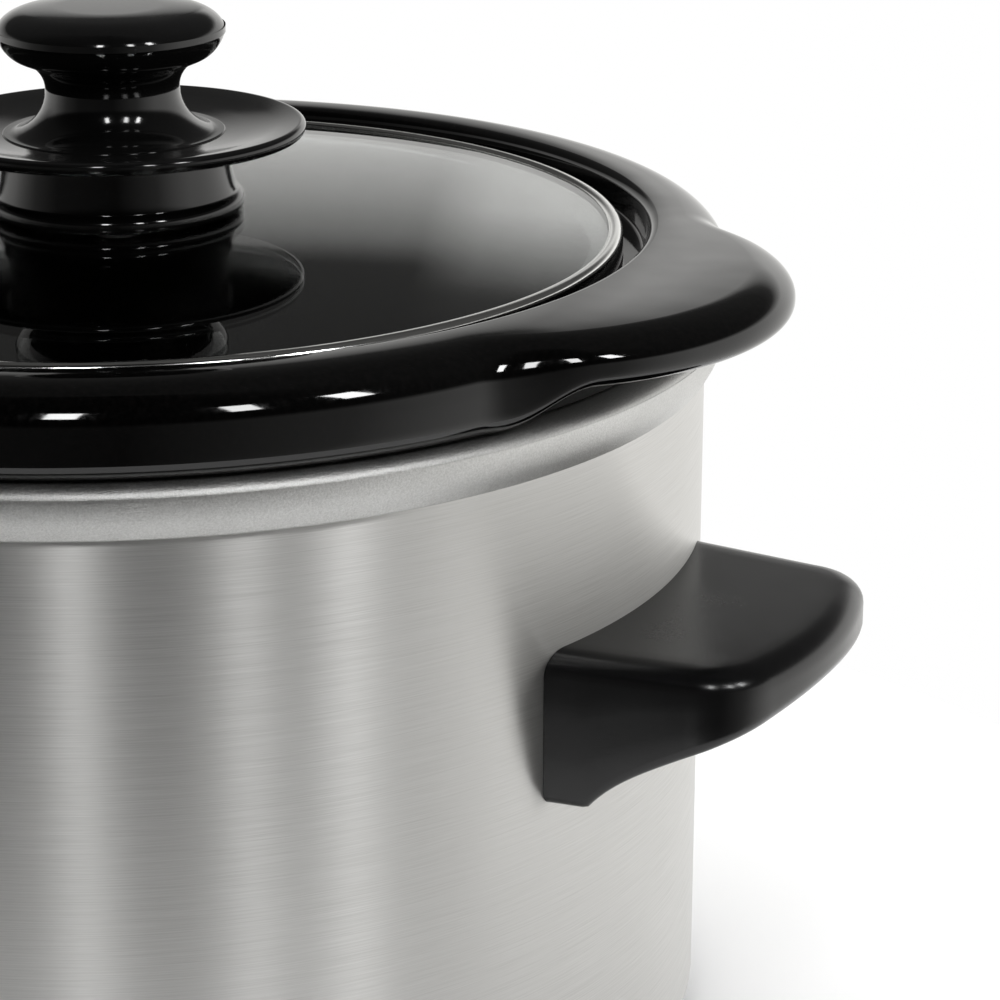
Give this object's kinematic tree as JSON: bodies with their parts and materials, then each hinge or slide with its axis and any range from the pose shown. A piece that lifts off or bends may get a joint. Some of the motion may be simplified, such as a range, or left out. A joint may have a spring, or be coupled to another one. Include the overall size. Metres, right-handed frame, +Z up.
{
  "type": "slow cooker",
  "caption": "Round electric slow cooker: brushed steel body with side handles, lift-out black stoneware crock with ears, glass lid with a knob, and a rotary heat control.",
  "frame": {"origin": "On the table plane, under the axis of the round body", "axes": "+Z up along the axis of the body; X runs through both carrying handles and both crock ears, with handle_right at +X; the control knob faces -Y"},
  "size_m": [0.316, 0.2723, 0.2198],
  "materials": {
    "wrap_steel": "fine circumferential brushing",
    "liner_steel": "matt frosted steel",
    "base_black": "satin black paint",
    "foot_plastic": "matt moulded",
    "zinc_steel": "zinc plated",
    "reflector_alu": "bright rolled",
    "heater_mica": "woven glass sleeve over the element",
    "terminal_brass": "plain",
    "fuse_case": "plain",
    "handle_plastic": "satin gloss, lightly textured",
    "control_plastic": "satin gloss",
    "switch_case": "moulded thermoset",
    "gland_rubber": "matt",
    "lead_insulation": "silicone sleeve",
    "crock_glaze": "high gloss black glaze",
    "lid_glass": "clear tempered glass",
    "lid_steel": "polished steel",
    "knob_plastic": "high gloss phenolic",
    "gasket_rubber": "matt"
  },
  "bodies": {
    "cooker": {"body_wrap": "wrap_steel", "heating_liner": "liner_steel", "base_pan": "base_black", "feet": "foot_plastic", "foot_screws": "zinc_steel", "heat_reflector": "reflector_alu", "heater_band": "heater_mica", "band_clamps": "zinc_steel", "clamp_screws": "zinc_steel", "element_terminals": "terminal_brass", "thermal_fuse": "fuse_case", "fuse_clip": "zinc_steel", "center_stud": "zinc_steel", "center_washer": "zinc_steel", "center_nut": "zinc_steel", "handle_left": "handle_plastic", "handle_right": "handle_plastic", "handle_screws": "zinc_steel", "dial_plate": "control_plastic", "rotary_switch": "switch_case", "switch_nut": "zinc_steel", "switch_terminals": "terminal_brass", "cord_gland": "gland_rubber", "lead_wires": "lead_insulation"},
    "crock": {"crock": "crock_glaze"},
    "lid": {"glass_lid": "lid_glass", "lid_rim": "lid_steel", "knob_foot": "knob_plastic", "knob_guard": "knob_plastic", "knob_grip": "knob_plastic", "knob_screw": "zinc_steel", "knob_gasket": "gasket_rubber"},
    "dial": {"control_knob": "control_plastic", "switch_shaft": "zinc_steel"}
  },
  "joints": [
    {"name": "crock_lift", "type": "slide", "parent": "cooker", "child": "crock", "axis": [0, 0, 1], "range_m": [0, 0.2]},
    {"name": "lid_lift", "type": "slide", "parent": "crock", "child": "lid", "axis": [0, 0, 1], "range_m": [0, 0.15]},
    {"name": "dial_turn", "type": "hinge", "parent": "cooker", "child": "dial", "pos_m": [0, -0.13, 0.045], "axis": [0, 1, 0], "range_deg": [0, 180]}
  ]
}
